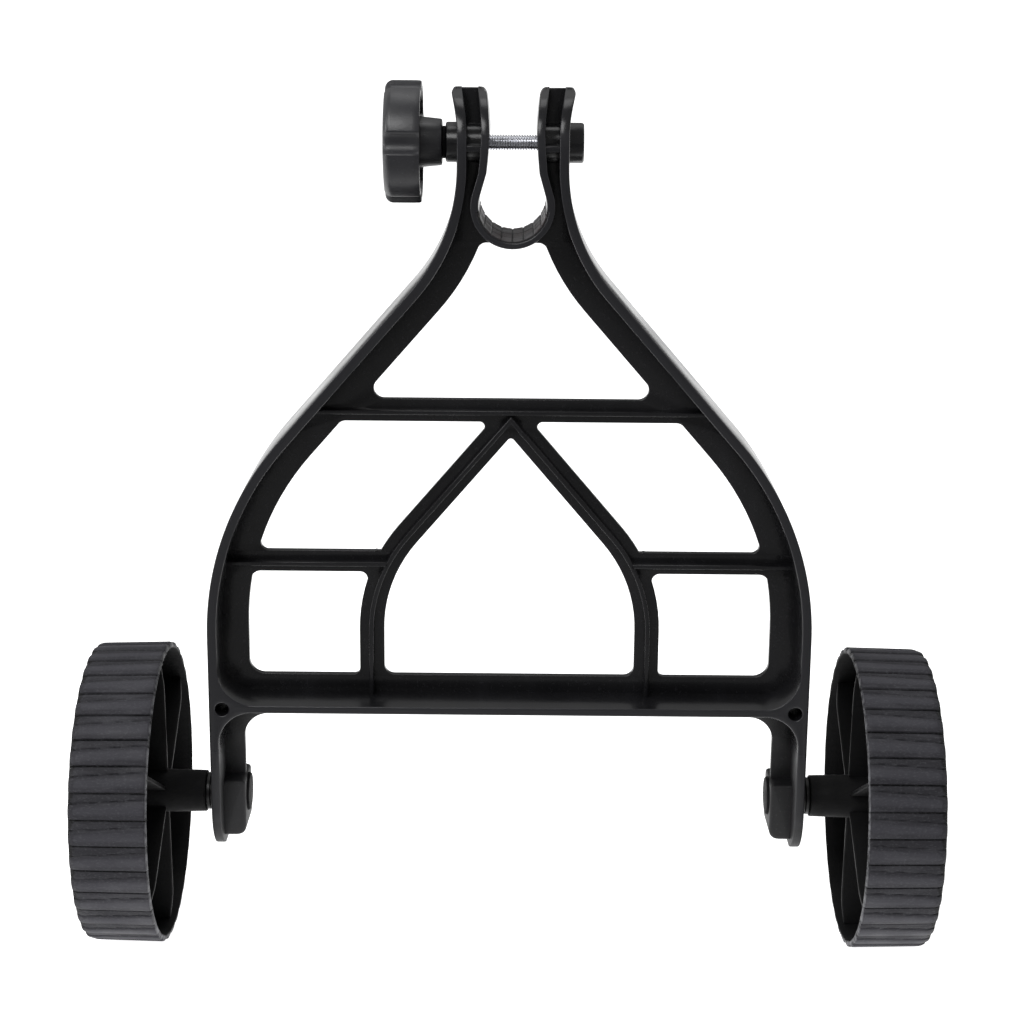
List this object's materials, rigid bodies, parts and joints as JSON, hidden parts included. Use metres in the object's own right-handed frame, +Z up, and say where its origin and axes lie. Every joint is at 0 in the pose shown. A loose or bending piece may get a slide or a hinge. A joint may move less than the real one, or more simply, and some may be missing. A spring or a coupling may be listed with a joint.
{
  "type": "trailer jack wheel",
  "caption": "Clamp-on jack stand: an open black A-frame with a screw clamp for a round tube on top and a ribbed wheel on each leg.",
  "frame": {"origin": "on the ground midway between the two wheels, below the axle line", "axes": "+X from the left (knob side) wheel to the right one, +Y to the back along the clamp bore, +Z up"},
  "size_m": [0.3318, 0.12, 0.3421],
  "materials": {
    "frame_plastic": "satin",
    "wheel_plastic": "matte",
    "knob_plastic": "satin",
    "trim_plastic": "gloss",
    "grip_liner": "satin",
    "zinc_steel": "zinc plated",
    "black_steel": "satin"
  },
  "bodies": {
    "stand": {"frame": "frame_plastic", "tube_liner": "grip_liner", "clamp_nut": "zinc_steel", "left_axle": "black_steel", "right_axle": "black_steel", "left_spacer": "trim_plastic", "right_spacer": "trim_plastic", "left_outer_washer": "zinc_steel", "right_outer_washer": "zinc_steel", "left_axle_nut": "zinc_steel", "right_axle_nut": "zinc_steel"},
    "left_wheel_set": {"left_wheel": "wheel_plastic", "left_hub_cap": "trim_plastic"},
    "right_wheel_set": {"right_wheel": "wheel_plastic", "right_hub_cap": "trim_plastic"},
    "screw_carrier": {"clamp_washer": "black_steel"},
    "knob_set": {"knob": "knob_plastic", "clamp_screw": "zinc_steel"}
  },
  "joints": [
    {"name": "left_wheel_spin", "type": "hinge", "parent": "stand", "child": "left_wheel_set", "pos_m": [-0.15, 0, 0.06], "axis": [1, 0, 0], "continuous": true},
    {"name": "right_wheel_spin", "type": "hinge", "parent": "stand", "child": "right_wheel_set", "pos_m": [0.15, 0, 0.06], "axis": [1, 0, 0], "continuous": true},
    {"name": "screw_travel", "type": "slide", "parent": "stand", "child": "screw_carrier", "axis": [-1, 0, 0], "range_m": [0, 0.00405]},
    {"name": "knob_turn", "type": "hinge", "parent": "screw_carrier", "child": "knob_set", "pos_m": [-0.04, 0, 0.3195], "axis": [-1, 0, 0], "range_deg": [0, 1440]}
  ],
  "couplings": [
    {"joint": "screw_travel", "follows": "knob_turn", "m_per_rad": 0.00015915}
  ]
}
